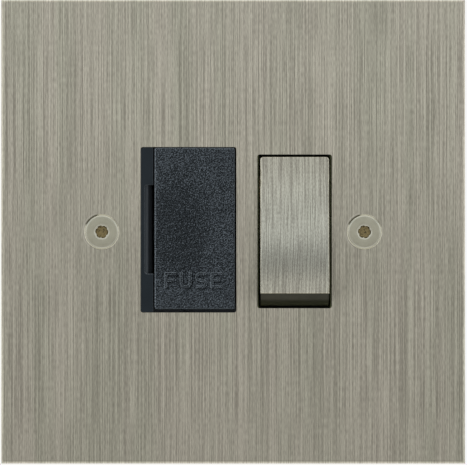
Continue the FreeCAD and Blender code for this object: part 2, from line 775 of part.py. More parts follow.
def fuse_clip(side, name):
    """A fork: a flat foot on the strip behind it and two jaws with flared lips beside the fuse's cap."""
    foot = "strip_front"
    tip = "fuse_axis - cradle_grip - clip_lip"
    lip = "fuse_axis - cradle_grip"
    right = [
        ("fuse_x + clip_outer", foot),
        ("fuse_x + clip_outer", lip),
        ("fuse_x + clip_outer + clip_flare", tip),
        ("fuse_x + clip_inner + clip_flare", tip),
        ("fuse_x + clip_inner", lip),
        ("fuse_x + clip_inner", f"{foot} - clip_thickness"),
    ]
    left = [(across.replace("fuse_x +", "fuse_x -").replace("+ clip_flare", "- clip_flare"), deep)
            for across, deep in reversed(right)]
    middle = f"fuse_z + {side} * clip_offset"
    node(f"fuse_clip_{name}",
         strip(f"FuseClip{name}", "XY_Plane", right + left, "clip_height", f"{middle} - clip_height / 2"))


def strips():
    """The flat conductors on the base's floor."""
    deep = ("strip_front", "floor")
    half = "strip_width / 2"
    link_low = "contact_z - contact_radius"
    link_high = "fuse_z + clip_offset + clip_height / 2"
    link_wide = ("fuse_x - clip_outer", f"live_x + {half}")
    live_wide = (f"fuse_x - {half}", f"fuse_x + {half}")
    neutral_wide = (f"neutral_x - {half}", f"neutral_x + {half}")
    live_tall = ("-terminal_inner", "fuse_z - clip_offset + clip_height / 2")
    node("live_link", block("LiveLink", link_wide, deep, (link_low, link_high)))
    node("live_load_strip", block("LiveLoadStrip", live_wide, deep, live_tall))
    node("neutral_load_strip", block("NeutralLoadStrip", neutral_wide, deep, (link_low, "terminal_inner")))
    for name in ("live", "neutral"):
        edge = "lever_y + knife_gap"
        points = [
            ("floor", "-terminal_inner"),
            ("floor", "rocker_opening_z + knife_half"),
            ("strip_front", "rocker_opening_z + knife_half"),
            (edge, "rocker_opening_z + knife_gap"),
            (edge, "rocker_opening_z - knife_gap"),
            ("strip_front", "rocker_opening_z - knife_half"),
            ("strip_front", "-terminal_inner"),
        ]
        node(f"{name}_supply_post",
             strip(f"{name}SupplyPost", "YZ_Plane", points, "strip_width", f"{name}_x - {half}"))
        node(f"fixed_contact_{name}", rod(f"{name}FixedContact", "y", "contact_radius", "contact_front",
                                          "strip_front", f"{name}_x", z="contact_z"))


def borders_dish(edge):
    """Whether an edge lies on the front face of the rocker's cap, as it is built level."""
    spot = edge.valueAt((edge.FirstParameter + edge.LastParameter) / 2)
    return near(Vector(0, spot.y - value("dish_axis"), spot.z).Length, "dish_radius")


def rocker():
    """The rocker is built level about its pivot, then tipped so that its top end is pressed in."""
    wide = ("-cap_half", "cap_half")
    front = "-rocker_rise - 1"
    deepest = "rocker_dish - rocker_rise + cap_thickness"
    cap_block = block("CapBlock", wide, (front, deepest), ("-rocker_half", "rocker_half"))
    soft_cap = rounded("SoftCap", cap_block, "cap_corner",
                       lambda edge: runs_along(edge, "y") and edge.CenterOfMass.z > 0)
    outer = rod("CapBack", "x", "dish_radius + cap_thickness", "-cap_half - 1", "cap_half + 1",
                y="dish_axis")
    inner = rod("CapFront", "x", "dish_radius", "-cap_half - 1", "cap_half + 1", y="dish_axis")
    sharp_cap = cut("SharpCap", common("CapSlab", [soft_cap, outer]), [inner])
    cap = rounded("RockerCap", sharp_cap, "cap_edge", borders_dish)

    drum = rod("RockerDrum", "x", "rocker_radius", "-body_half", "body_half")
    slab = block("RockerSlab", ("-body_half", "body_half"), (front, "rocker_skirt"),
                 ("-rocker_radius", "rocker_radius"))
    seat = rod("CapSeat", "x", "dish_radius + cap_thickness", "-cap_half - 1", "cap_half + 1",
               y="dish_axis")
    hollow = common("RockerHollow", [
        rod("HollowDrum", "x", "rocker_radius - rocker_wall", "-body_half + rocker_wall",
            "body_half - rocker_wall"),
        block("HollowSlab", ("-body_half", "body_half"), (f"{deepest} + rocker_wall", "rocker_skirt + 1"),
              ("-rocker_radius", "rocker_radius")),
    ])
    shell = cut("RockerShell", common("RockerForm", [drum, slab]), [seat, hollow])
    trunnion_end = "body_half + trunnion_length"
    stems = [rod("TrunnionBar", "x", "trunnion_radius", f"-({trunnion_end})", trunnion_end)]
    bores = []
    for side, name in ((-1, "Live"), (1, "Neutral")):
        middle = f"{side} * pole_spacing / 2"
        stems.append(rod(f"Stem{name}", "y", "stem_radius", f"{deepest} + rocker_wall / 2", "stem_reach",
                         middle))
        bores.append(rod(f"Bore{name}", "y", "plunger_radius + bearing_gap", "bore_floor",
                         "stem_reach + 1", middle))
    body = cut("RockerBody", fuse("RockerSolid", [shell] + stems), bores)
    return [node("rocker_cap", cap), node("rocker_body", body)]


def plungers():
    """Plungers and springs in the rocker's stems, built with the rocker level."""
    found = []
    for side, name in ((-1, "live"), (1, "neutral")):
        middle = f"{side} * pole_spacing / 2"
        shaft = rod(f"{name}PlungerShaft", "y", "plunger_radius", "plunger_back", "plunger_neck", middle)
        nose = cone(f"{name}PlungerNose", "plunger_radius", "plunger_tip_radius", "plunger_neck",
                    "plunger_reach", middle)
        tip = doc.addObject("Part::Sphere", f"{name}PlungerTip")
        bind(tip, "Radius", "plunger_tip_radius")
        move(tip, middle, "plunger_reach", "0")
        found.append(node(f"plunger_{name}", fuse(f"{name}Plunger", [shaft, nose, tip])))

        # A coil spring is a round wire swept along a helix that stands on the bore's floor
        helix = doc.addObject("Part::Helix", f"{name}SpringLine")
        free = "(plunger_back - bore_floor - 2 * spring_wire - 2 * fit_gap)"
        bind(helix, "Radius", "spring_radius")
        bind(helix, "Height", free)
        bind(helix, "Pitch", f"{free} / spring_turns")
        wire = doc.addObject("Part::Circle", f"{name}SpringWire")
        bind(wire, "Radius", "spring_wire")
        wire.Placement.Rotation = Rotation(X_AXIS, 90)
        bind(wire, "Placement.Base.x", "spring_radius")
        coil = doc.addObject("Part::Sweep", f"{name}Spring")
        coil.Sections = [wire]
        doc.recompute()
        coil.Spine = (helix, [f"Edge{number + 1}" for number in range(len(helix.Shape.Edges))])
        coil.Solid = True
        coil.Frenet = True
        doc.recompute()
        spring = group(f"{name}SpringPlaced", [coil])
        spring.Placement.Rotation = TURN["y"]
        move(spring, middle, "bore_floor + spring_wire + fit_gap", "0")
        found.append(node(f"plunger_spring_{name}", group(f"{name}SpringGroup", [spring])))
    return found


def tip_rocker(pieces):
    for piece in pieces:
        piece.Placement.Rotation = Rotation(X_AXIS, -1)
        bind(piece, "Placement.Rotation.Angle", "-rocker_tilt")
        move(piece, "rocker_opening_x", "pivot_y", "rocker_opening_z")


def contact_levers():
    """Levers built level about their knife edges, then tipped until the top ends leave the contacts."""
    for name in ("live", "neutral"):
        lip = "-lever_thickness - lever_lip"
        points = [
            ("0", "-lever_down"),
            ("0", "lever_up"),
            ("-lever_thickness", "lever_up"),
            ("-lever_thickness", "lever_thickness - lever_down"),
            (lip, "lever_thickness - lever_down"),
            (lip, "-lever_down"),
        ]
        lever = strip(f"{name}Lever", "YZ_Plane", points, "lever_width", "-lever_width / 2")
        rivet = rod(f"{name}MovingContact", "y", "contact_radius", "0", "contact_thickness",
                    z="contact_place")
        held = group(f"{name}MovingGroup", [rivet])
        for piece in (lever, held):
            piece.Placement.Rotation = Rotation(X_AXIS, 1)
            bind(piece, "Placement.Rotation.Angle", "lever_tilt")
            move(piece, f"{name}_x", "lever_y", "rocker_opening_z")
        node(f"contact_lever_{name}", lever)
        node(f"moving_contact_{name}", held)


def terminals():
    screws = []
    for name, middle, side in TERMINALS:
        low, high = signed(side, "terminal_inner", "terminal_outer")
        centre = f"{side} * (terminal_inner + terminal_height / 2)"
        solid = block(name + "_block", (f"{middle} - terminal_width / 2", f"{middle} + terminal_width / 2"),
                      ("terminal_front", "floor"), (low, high))
        bore = rod(name + "_bore", "z", "wire_radius", f"({low}) - 1", f"({high}) + 1", middle, "wire_axis")
        thread = rod(name + "_thread", "y", "clamp_radius + thread_gap", "wire_axis", "floor + 1", middle,
                     z=centre)
        node(name, cut(name + "_brass", solid, [bore, thread]))
        seat = "floor + clamp_backed_off"
        screws.append(pan_screw(name + "_screw", "y", "clamp_radius", "clamp_head_radius",
                                "wire_axis + wire_radius + clamp_backed_off", seat,
                                f"{seat} + clamp_head_height", middle, centre, side > 0))
    node("terminal_screws", group("TerminalScrews", screws))


def earth_strap():
    """A bar on both earth blocks, a leg over the moulding's top and a foot under a plate screw."""
    middle = "(earth_load_x + earth_supply_x) / 2"
    wide = (f"{middle} - strap_width / 2", f"{middle} + strap_width / 2")
    bar_deep = ("terminal_front - strip_thickness", "terminal_front")
    bar_low = "terminal_inner + cavity_ledge"
    leg_low = "half_height + strap_gap"
    leg_high = f"{leg_low} + strip_thickness"
    foot_wide = ("-ear_x - strap_width", "-ear_x + strap_width")
    solids = [
        block("EarthBar", ("earth_load_x - terminal_width / 2 + terminal_gap",
                           "earth_supply_x + terminal_width / 2 - terminal_gap"),
              bar_deep, (bar_low, "terminal_outer - cavity_ledge")),
        block("EarthRise", wide, bar_deep, (bar_low, leg_high)),
        block("EarthLeg", wide, ("ear_thickness", "terminal_front"), (leg_low, leg_high)),
        block("EarthFoot", foot_wide, ("ear_thickness", "ear_thickness + strip_thickness"),
              (leg_low, "half_height + ear_height")),
    ]
    hole = rod("EarthHole", "y", "plate_screw_radius + thread_gap", "ear_thickness - 1",
               "ear_thickness + strip_thickness + 1", "-ear_x", z="ear_z")
    node("earth_strap", cut("EarthStrap", fuse("EarthSolid", solids), [hole]))


def small_screws():
    plate = []
    for number, (across, side) in enumerate([(-1, 1), (1, 1), (-1, -1), (1, -1)]):
        seat = "ear_thickness + strip_thickness" if number == 0 else "ear_thickness"
        plate.append(pan_screw(f"PlateScrew{number}", "y", "plate_screw_radius", "plate_screw_head",
                               "-plate_screw_depth", seat, f"{seat} + plate_screw_rise",
                               f"{across} * ear_x", f"{side} * ear_z"))
    node("plate_screws", group("PlateScrews", plate))
    long_screws = []
    for number, (middle, side) in enumerate(ASSEMBLY_SCREWS):
        long_screws.append(pan_screw(f"AssemblyScrew{number}", "y", "assembly_radius", "assembly_head",
                                     "assembly_depth", "assembly_head_back - assembly_head_height",
                                     "assembly_head_back", middle, f"{side} * assembly_row"))
    node("assembly_screws", group("AssemblyScrews", long_screws))


front_plate()
node("fixing_screws", group("FixingScrews", [fixing_screw("LeftScrew", "-screw_x"),
                                             fixing_screw("RightScrew", "screw_x")]))
front_moulding()
rear_base()
fuse_carrier()
cartridge_fuse()
fuse_clip(1, "upper")
fuse_clip(-1, "lower")
strips()
tip_rocker(rocker() + plungers())
contact_levers()
terminals()
earth_strap()
small_screws()
doc.recompute()

failed = [item.Name for item in doc.Objects if {"Invalid", "Error"} & set(item.State)]
if failed:
    raise RuntimeError("failed objects: " + ", ".join(failed))
for name, item in nodes.items():
    if item.Shape.isNull() or not item.Shape.isValid():
        raise RuntimeError("bad shape: " + name)

os.makedirs("parts", exist_ok=True)
for name, item in nodes.items():
    item.Shape.exportStep(f"parts/{name}.step")
    box = item.Shape.BoundBox
    low = [round(number, 2) for number in (box.XMin, box.YMin, box.ZMin)]
    high = [round(number, 2) for number in (box.XMax, box.YMax, box.ZMax)]
    print(f"{name}: {len(item.Shape.Solids)} solids, {item.Shape.Volume:.1f} mm3, from {low} to {high}")
for place in ("pivot_y", "lever_y", "rocker_half", "floor", "back", "front_depth", "wire_axis"):
    print(f"{place} {value(place):.4f}")
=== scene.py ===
import json
import math

import bmesh
import bpy
import numpy as np
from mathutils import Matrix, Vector

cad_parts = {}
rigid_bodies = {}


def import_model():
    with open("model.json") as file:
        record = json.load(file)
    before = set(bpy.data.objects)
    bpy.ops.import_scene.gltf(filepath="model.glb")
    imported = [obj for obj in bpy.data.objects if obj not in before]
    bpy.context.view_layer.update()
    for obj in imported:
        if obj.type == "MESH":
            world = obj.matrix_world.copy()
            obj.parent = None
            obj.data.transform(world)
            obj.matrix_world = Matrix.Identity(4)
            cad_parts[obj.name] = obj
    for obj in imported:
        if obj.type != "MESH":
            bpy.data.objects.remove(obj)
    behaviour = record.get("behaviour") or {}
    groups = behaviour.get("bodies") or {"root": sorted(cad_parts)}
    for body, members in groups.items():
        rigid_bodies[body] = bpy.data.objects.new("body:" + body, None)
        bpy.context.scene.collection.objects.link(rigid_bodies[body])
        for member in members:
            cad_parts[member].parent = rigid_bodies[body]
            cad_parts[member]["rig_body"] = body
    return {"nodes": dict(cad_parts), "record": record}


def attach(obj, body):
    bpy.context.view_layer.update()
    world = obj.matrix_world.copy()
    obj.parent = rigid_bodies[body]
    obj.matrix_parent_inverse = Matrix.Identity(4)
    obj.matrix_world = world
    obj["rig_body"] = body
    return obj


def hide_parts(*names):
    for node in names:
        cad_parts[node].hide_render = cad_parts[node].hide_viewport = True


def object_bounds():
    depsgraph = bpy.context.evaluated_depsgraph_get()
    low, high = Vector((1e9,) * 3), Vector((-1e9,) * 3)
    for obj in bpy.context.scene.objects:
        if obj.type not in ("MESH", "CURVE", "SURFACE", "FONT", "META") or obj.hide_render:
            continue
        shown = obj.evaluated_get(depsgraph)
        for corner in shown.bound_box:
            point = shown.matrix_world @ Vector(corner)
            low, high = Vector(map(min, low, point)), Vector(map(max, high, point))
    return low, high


# Fused spur unit on a brushed metal plate, in metres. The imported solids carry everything;
# this script dresses them, swaps sharp solids for edge-softened copies and adds threaded screws.
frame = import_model()
nodes = frame["nodes"]
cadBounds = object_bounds()

scene = bpy.context.scene
scene.view_settings.view_transform = "Standard"


# Camera, at the photograph's distance and height

cameraLook = {
    "distance": 1.0,
    "frameWidth": 0.10718,  # what the image is wide at the plate's front face
    "plateFront": -0.003,
    "aimX": 0.00008,
    "aimZ": -0.00016,
}


def addCamera(look):
    data = bpy.data.cameras.new("frontCamera")
    data.sensor_width = 36.0
    data.lens = data.sensor_width * look["distance"] / look["frameWidth"]
    data.clip_start = 0.01
    camera = bpy.data.objects.new("frontCamera", data)
    camera.location = (look["aimX"], look["plateFront"] - look["distance"], look["aimZ"])
    camera.rotation_euler = (math.radians(90), 0, 0)
    scene.collection.objects.link(camera)
    scene.camera = camera


addCamera(cameraLook)
print("camera placed")


# Small helpers for shader trees

def put(tree, kind, inputs=None, **settings):
    # one shader node: settings go on the node, inputs are sockets to link or plain values
    node = tree.nodes.new(kind)
    for name, value in settings.items():
        setattr(node, name, value)
    for key, value in (inputs or {}).items():
        if isinstance(value, bpy.types.NodeSocket):
            tree.links.new(value, node.inputs[key])
        else:
            node.inputs[key].default_value = value
    return node


def connect(tree, sockets, **values):
    for label, value in values.items():
        tree.links.new(value, sockets[label.replace("_", " ")])


def calc(tree, operation, *values, clamp=False):
    node = put(tree, "ShaderNodeMath", dict(enumerate(values)), operation=operation, use_clamp=clamp)
    return node.outputs[0]


def scaled(tree, value, strength, base, clamp=False):
    return calc(tree, "ADD", calc(tree, "MULTIPLY", value, strength), base, clamp=clamp)


def spread(tree, value, low, high, newLow, newHigh, ease="LINEAR"):
    # a value moved from one range to another, and held at its ends
    node = put(tree, "ShaderNodeMapRange", {0: value, 1: low, 2: high, 3: newLow, 4: newHigh},
               interpolation_type=ease)
    return node.outputs[0]


def blendColours(tree, share, first, second, mode="MIX"):
    node = tree.nodes.new("ShaderNodeMix")
    node.data_type = "RGBA"
    node.blend_type = mode
    for key, value in ((0, share), (6, first), (7, second)):
        if isinstance(value, bpy.types.NodeSocket):
            tree.links.new(value, node.inputs[key])
        elif key == 0:
            node.inputs[key].default_value = value
        else:
            node.inputs[key].default_value = (*value, 1.0)
    return node.outputs[2]


def flatNoise(tree, first, second, detail):
    # noise over two values, about zero
    at = put(tree, "ShaderNodeCombineXYZ", {0: first, 1: second}).outputs[0]
    noise = put(tree, "ShaderNodeTexNoise", {"Vector": at, "Scale": 1.0, "Detail": detail},
                noise_dimensions="2D").outputs[0]
    return calc(tree, "SUBTRACT", noise, 0.5)


def objectSpot(tree):
    # X, Y and Z of the shaded point, in its piece's own frame
    at = put(tree, "ShaderNodeTexCoord").outputs["Object"]
    return put(tree, "ShaderNodeSeparateXYZ", {0: at}).outputs


# Studio: a pale room with even sides; behind the camera its brightness changes with height

studio = {
    "backdrop": (0.93, 0.93, 0.925),
    # elevation in degrees, brightness, and how far the colour leans from red towards blue
    "bands": [(-90, 0.70, 0.0), (-52, 0.72, 0.0), (-35, 0.42, 0.0), (-14, 0.39, 0.0), (-4, 0.483, -0.005),
              (-2, 0.42, 0.0), (0, 0.422, 0.005), (2, 0.67, 0.014), (4, 0.635, 0.018), (8, 0.475, 0.005),
              (13, 0.63, 0.03), (17, 0.548, 0.04), (20, 0.64, 0.045), (22, 0.70, 0.05), (24, 0.405, 0.05),
              (26, 0.263, 0.05), (28, 0.28, 0.03), (30, 0.60, 0.01), (33, 0.58, 0.0), (38, 0.60, 0.0),
              (54, 0.76, 0.0), (66, 0.58, 0.0), (90, 0.50, 0.0)],
    "sideBrightness": 0.95,
    "sideFrom": 42,  # degrees from straight behind the camera where the sides set in and are full
    "sideFull": 78,
    "keyPlace": (-0.775, -0.45, 0.875),  # a panel that grazes the black mouldings alone
    "keySize": 0.25,
    "keyPower": 27.0,
    "keyLights": ["front_moulding", "fuse_carrier"],
    "keyShadows": ["front_plate", "front_moulding", "fuse_carrier", "rocker_body", "rocker_cap"],
    "floorDrop": 0.12,
    "floorRadius": 0.9,
    "floorSides": 96,
    "floorColour": (0.88, 0.88, 0.875),
    "floorRoughness": 0.8,
}


def lightRoom(look):
    world = bpy.data.worlds.new("studioRoom")
    world.use_nodes = True
    tree = world.node_tree
    tree.nodes.clear()
    way = put(tree, "ShaderNodeTexCoord").outputs["Generated"]
    parts = put(tree, "ShaderNodeSeparateXYZ", {0: way}).outputs
    height = calc(tree, "DEGREES", calc(tree, "ARCSINE", parts[2]))
    ramp = put(tree, "ShaderNodeValToRGB", {0: spread(tree, height, -90, 90, 0, 1)})
    ramp.color_ramp.interpolation = "LINEAR"
    stops = ramp.color_ramp.elements
    while len(stops) < len(look["bands"]):
        stops.new(0.5)
    for stop, (degrees, brightness, cool) in zip(stops, look["bands"]):
        stop.position = (degrees + 90) / 180
        stop.color = (brightness * (1 - cool), brightness, brightness * (1 + cool), 1)
    turned = calc(tree, "DEGREES", calc(tree, "ARCTAN2", parts[0], calc(tree, "MULTIPLY", parts[1], -1)))
    aside = spread(tree, calc(tree, "ABSOLUTE", turned), look["sideFrom"], look["sideFull"], 0, 1,
                   ease="SMOOTHSTEP")
    room = blendColours(tree, aside, ramp.outputs[0], (look["sideBrightness"],) * 3)
    seen = put(tree, "ShaderNodeLightPath").outputs["Is Camera Ray"]
    colour = blendColours(tree, seen, room, look["backdrop"])
    background = put(tree, "ShaderNodeBackground", {0: colour, 1: 1.0})
    output = put(tree, "ShaderNodeOutputWorld", {0: background.outputs[0]})
    output.is_active_output = True
    scene.world = world


def addKeyPanel(look):
    data = bpy.data.lights.new("keyPanel", "AREA")
    data.size = look["keySize"]
    data.energy = look["keyPower"]
    lamp = bpy.data.objects.new("keyPanel", data)
    lamp.location = look["keyPlace"]
    lamp.rotation_euler = (-Vector(look["keyPlace"])).to_track_quat("-Z", "Y").to_euler()
    scene.collection.objects.link(lamp)
    groups = []
    for label in ("keyLights", "keyShadows"):
        group = bpy.data.collections.new(label)
        for name in look[label]:
            group.objects.link(nodes[name])
        groups.append(group)
    lamp.light_linking.receiver_collection, lamp.light_linking.blocker_collection = groups
    return groups


def layFloor(look):
    # a flat disc: its rim is radius * (cos, sin), all at one height
    turns = np.linspace(0, 2 * np.pi, look["floorSides"], endpoint=False)
    rim = np.stack([np.cos(turns), np.sin(turns), np.zeros_like(turns)], 1) * look["floorRadius"]
    low = cadBounds[0].z - look["floorDrop"]
    mesh = bpy.data.meshes.new("studioFloor")
    mesh.from_pydata((rim + (0, 0, low)).tolist(), [], [list(range(len(turns)))])
    floor = bpy.data.objects.new("studioFloor", mesh)
    scene.collection.objects.link(floor)
    material = bpy.data.materials.new("paleFloor")
    material.use_nodes = True
    shader = material.node_tree.nodes["Principled BSDF"]
    shader.inputs["Base Color"].default_value = (*look["floorColour"], 1)
    shader.inputs["Roughness"].default_value = look["floorRoughness"]
    mesh.materials.append(material)
    floor.visible_glossy = False


lightRoom(studio)
keyGroups = addKeyPanel(studio)
layFloor(studio)
print("studio lit")


# Shader groups shared by several finishes

def newGroup(name, ins, outs):
    # takes a vector and named values, and gives named values
    group = bpy.data.node_groups.new(name, "ShaderNodeTree")
    group.interface.new_socket("Vector", in_out="INPUT", socket_type="NodeSocketVector")
    for label, value in ins.items():
        socket = group.interface.new_socket(label, in_out="INPUT", socket_type="NodeSocketFloat")
        socket.default_value = value
    for label in outs:
        group.interface.new_socket(label, in_out="OUTPUT", socket_type="NodeSocketFloat")
    start = group.nodes.new("NodeGroupInput")
    end = group.nodes.new("NodeGroupOutput")
    return group, start.outputs, end.inputs


brushing = {
    "swayRates": (420.0, 190.0),  # waves per metre along X and Z of the noise that sways the scratches
    # each length of scratch: its rate across and along, a shift of its noise, and its strength
    "scratches": [(1.0, 1.0, 3.1, 1.35), (1.1, 5.0, 47.7, 0.95), (1.2, 45.0, 91.3, 0.75)],
    "bands": (0.035, 0.7, 13.9),
    "slowDetail": 1.0,  # noise detail of the sway and the bands; the scratches have none
}


def buildBrushedGrain(look):
    # upright scratches: noise squeezed across X and drawn out along Z, in three lengths; they sway by a
    # slow noise and lean by a square law of the height below LeanFrom
    group, start, end = newGroup(
        "brushedGrain", {"Width": 0.0002, "Length": 0.06, "Sway": 0.0, "Lean": 0.0, "LeanFrom": 0.0},
        ["Lines", "Bands"])
    spot = put(group, "ShaderNodeSeparateXYZ", {0: start["Vector"]}).outputs
    swayAt = [calc(group, "MULTIPLY", spot[axis], rate) for axis, rate in zip((0, 2), look["swayRates"])]
    slow = flatNoise(group, *swayAt, look["slowDetail"])
    below = calc(group, "MAXIMUM", calc(group, "SUBTRACT", start["LeanFrom"], spot[2]), 0.0)
    leant = calc(group, "MULTIPLY", calc(group, "MULTIPLY", below, below), start["Lean"])
    moved = scaled(group, slow, start["Sway"], leant)
    across = calc(group, "DIVIDE", calc(group, "ADD", spot[0], moved), start["Width"])
    along = calc(group, "DIVIDE", spot[2], start["Length"])

    def layer(acrossRate, alongRate, shift, detail):
        return flatNoise(group, scaled(group, across, acrossRate, shift),
                         calc(group, "MULTIPLY", along, alongRate), detail)

    lines = 0.0
    for acrossRate, alongRate, shift, strength in look["scratches"]:
        lines = scaled(group, layer(acrossRate, alongRate, shift, 0.0), strength, lines)
    connect(group, end, Lines=lines, Bands=layer(*look["bands"], look["slowDetail"]))
    return group


stippling = {
    "detail": 2.0,
    "roughness": 0.6,
    "noiseShare": 1.4,
    "cellShare": 0.5,
}


def buildStipple(look):
    # spark-eroded mould texture: noise less a share of rounded cells of the same grain
    group, start, end = newGroup("stipple", {"Grain": 0.0003}, ["Height", "Fleck"])
    rate = calc(group, "DIVIDE", 1.0, start["Grain"])
    noise = put(group, "ShaderNodeTexNoise", {
        "Vector": start["Vector"], "Scale": rate, "Detail": look["detail"],
        "Roughness": look["roughness"]}).outputs[0]
    cells = put(group, "ShaderNodeTexVoronoi", {"Vector": start["Vector"], "Scale": rate},
                feature="SMOOTH_F1").outputs[0]
    height = calc(group, "SUBTRACT", calc(group, "MULTIPLY", noise, look["noiseShare"]),
                  calc(group, "MULTIPLY", cells, look["cellShare"]))
    connect(group, end, Height=height, Fleck=calc(group, "SUBTRACT", noise, 0.5))
    return group


def buildSurfaceWander():
    # faint unevenness that a moulded or rolled surface picks up: slow patches and small pores
    group, start, end = newGroup("surfaceWander", {"Patch": 0.006, "Pore": 0.0004}, ["Patches", "Pores"])
    for size, result, detail in (("Patch", "Patches", 3.0), ("Pore", "Pores", 2.0)):
        rate = calc(group, "DIVIDE", 1.0, start[size])
        noise = put(group, "ShaderNodeTexNoise", {
            "Vector": start["Vector"], "Scale": rate, "Detail": detail}).outputs[0]
        group.links.new(calc(group, "SUBTRACT", noise, 0.5), end[result])
    return group


brushedGrain = buildBrushedGrain(brushing)
stipple = buildStipple(stippling)
surfaceWander = buildSurfaceWander()


def newMaterial(name, metallic, roughness, **plain):
    # a Principled material: whatever is the same all over is set on its own sockets
    material = bpy.data.materials.new(name)
    material.use_nodes = True
    tree = material.node_tree
    shader = tree.nodes["Principled BSDF"]
    shader.inputs["Metallic"].default_value = metallic
    shader.inputs["Roughness"].default_value = roughness
    for label, value in plain.items():
        shader.inputs[label.replace("_", " ")].default_value = value
    return material, tree, shader.inputs


def groupNode(tree, group, **values):
    node = tree.nodes.new("ShaderNodeGroup")
    node.node_tree = group
    tree.links.new(put(tree, "ShaderNodeTexCoord").outputs["Object"], node.inputs["Vector"])
    for label, value in values.items():
        node.inputs[label].default_value = value
    return node.outputs


def bump(tree, height, distance, under=None):
    # relief in metres, on the surface's own normal or on another one
    node = put(tree, "ShaderNodeBump", {"Height": height, "Distance": distance})
    if under:
        tree.links.new(under, node.inputs["Normal"])
    return node.outputs[0]


def patchTones(tree, wander, low, high, contrast):
    return blendColours(tree, scaled(tree, wander["Patches"], contrast, 0.5, clamp=True), low, high)


def withinBox(tree, spot, middle, reach, fade):
    # 1 inside a rectangle across X and Z, fading out beyond its sides
    inside = 1.0
    for axis, centre, half in zip((0, 2), middle, reach):
        off = calc(tree, "ABSOLUTE", calc(tree, "SUBTRACT", spot[axis], centre))
        inside = calc(tree, "MULTIPLY", inside, spread(tree, off, half, half + fade, 1, 0))
    return inside


edgeLook = {
    "samples": 8,
    "flatAt": 0.99,  # largest part of the softened normal on flat sides, and where the painted edge highlight is full
    "highlightFullAt": 0.80,
}


def softNormal(tree, radius):
    # the surface's normal with sharp edges rounded by a radius
    return put(tree, "ShaderNodeBevel", {"Radius": radius}, samples=edgeLook["samples"]).outputs[0]


def edgeShare(tree, soft):
    # how far a softened normal leans from all three axes: 0 on flat sides, 1 on edges
    sides = put(tree, "ShaderNodeVectorMath", {0: soft}, operation="ABSOLUTE").outputs[0]
    sides = put(tree, "ShaderNodeSeparateXYZ", {0: sides}).outputs
    most = calc(tree, "MAXIMUM", calc(tree, "MAXIMUM", sides[0], sides[1]), sides[2])
    return spread(tree, most, edgeLook["flatAt"], edgeLook["highlightFullAt"], 0, 1)


fixingScrew = {
    "headRadius": 0.00385,
    "headTop": -0.0030,
    "rimWidth": 0.00030,
    "rimDepth": 0.00015,
    "neckRadius": 0.00155,
    "neckEase": 0.0001,
    "threadRadius": 0.00175,
    "rootRadius": 0.00145,
    "threadPitch": 0.0006,
    "threadStart": 0.0002,
    "threadSteepness": 3.2,
    "fadeTurns": (1.0, 1.5),  # turns over which the thread sets in behind the plate and runs out at the tip
    "tip": 0.0220,
    "recessRadius": 0.00150,
    "recessBump": 0.00019,
    "recessBumps": 6,
    "bumpPower": 4,
    "recessTurn": 22,  # degrees from the X axis to the first inward bump
    "recessDepth": 0.0011,
    "recessDip": 0.00015,
    "recessChamfer": 0.00016,
    "spacing": 0.0603,
    "around": 144,
    "ringsPerTurn": 6,
    # the ring where each finish starts, and the finish: 0 recess, 1 face, 2 rim, 3 shank
    "finishRings": [(0, 0), (4, 2), (7, 1), (8, 2), (13, 3)],
    "merge": 0.000001,
    "sharpAbove": 30,
}

plateLook = {
    "light": (0.80, 0.778, 0.66),
    "dark": (0.41, 0.388, 0.326),
    "olive": (0.955, 0.955, 0.908),
    "rose": (1.052, 1.020, 0.995),
    "width": 0.00017,
    "length": 0.055,
    "sway": 0.0,
    "lean": 0.0,
    "leanFrom": 0.0,
    "contrast": 1.0,
    "bandContrast": 2.5,
    "roughness": 0.30,
    "roughVariety": -0.04,
    "anisotropy": 0.97,
    "relief": 0.000004,
    # arcs about each screw: radii where one sets in and ends, the way it faces, the cosine where it ends
    # and how dense it is
    # painted light: a pale ring over the dark gap round each head, and a pale arc outside the countersink on
    # the left as a highlight
    "paintedLight": (0.98, 0.95, 0.82),
    "paintedLightArcs": [((0.00378, 0.00384, 0.00401, 0.00406), (1.0, 0.0), -3.0, 1.0),
                ((0.00426, 0.00434, 0.00446, 0.00456), (-0.98, 0.20), 0.35, 0.33)],
    # painted shadow: dark crescents in the gap round each head, strongest at the upper left
    "paintedShadow": (0.15, 0.14, 0.10),
    "paintedShadowArcs": [((0.00380, 0.00388, 0.00406, 0.00422), (-0.64, 0.77), 0.87, 1.0),
                  ((0.00380, 0.00388, 0.00404, 0.00418), (0.82, 0.57), 0.95, 0.35),
                  ((0.00402, 0.00406, 0.00412, 0.00420), (-0.17, -0.98), 0.75, 0.45)],
}
capLook = {
    **plateLook,
    "light": (0.835, 0.815, 0.68),
    "dark": (0.455, 0.43, 0.358),
    "olive": (0.995, 1.0, 0.985),
    "rose": (1.006, 0.998, 0.995),
    "width": 0.00026,
    "length": 0.030,
    "sway": 0.0003,
    "lean": 1.5,
    "leanFrom": 0.004,
    "contrast": 1.05,
    "roughness": 0.25,
    "anisotropy": 0.98,
    "paintedLightArcs": [],
    "paintedShadowArcs": [],
}


def aboutScrew(tree, centreX=0.0, centreZ=0.0):
    # X, Z and distance from the middle of the nearer screw, or from a point beside it
    spot = objectSpot(tree)
    side = calc(tree, "MULTIPLY", calc(tree, "SIGN", spot[0]), fixingScrew["spacing"] / 2)
    x = calc(tree, "SUBTRACT", calc(tree, "SUBTRACT", spot[0], side), centreX)
    z = calc(tree, "SUBTRACT", spot[2], centreZ)
    squares = calc(tree, "ADD", calc(tree, "MULTIPLY", x, x), calc(tree, "MULTIPLY", z, z))
    return x, z, calc(tree, "SQRT", squares)


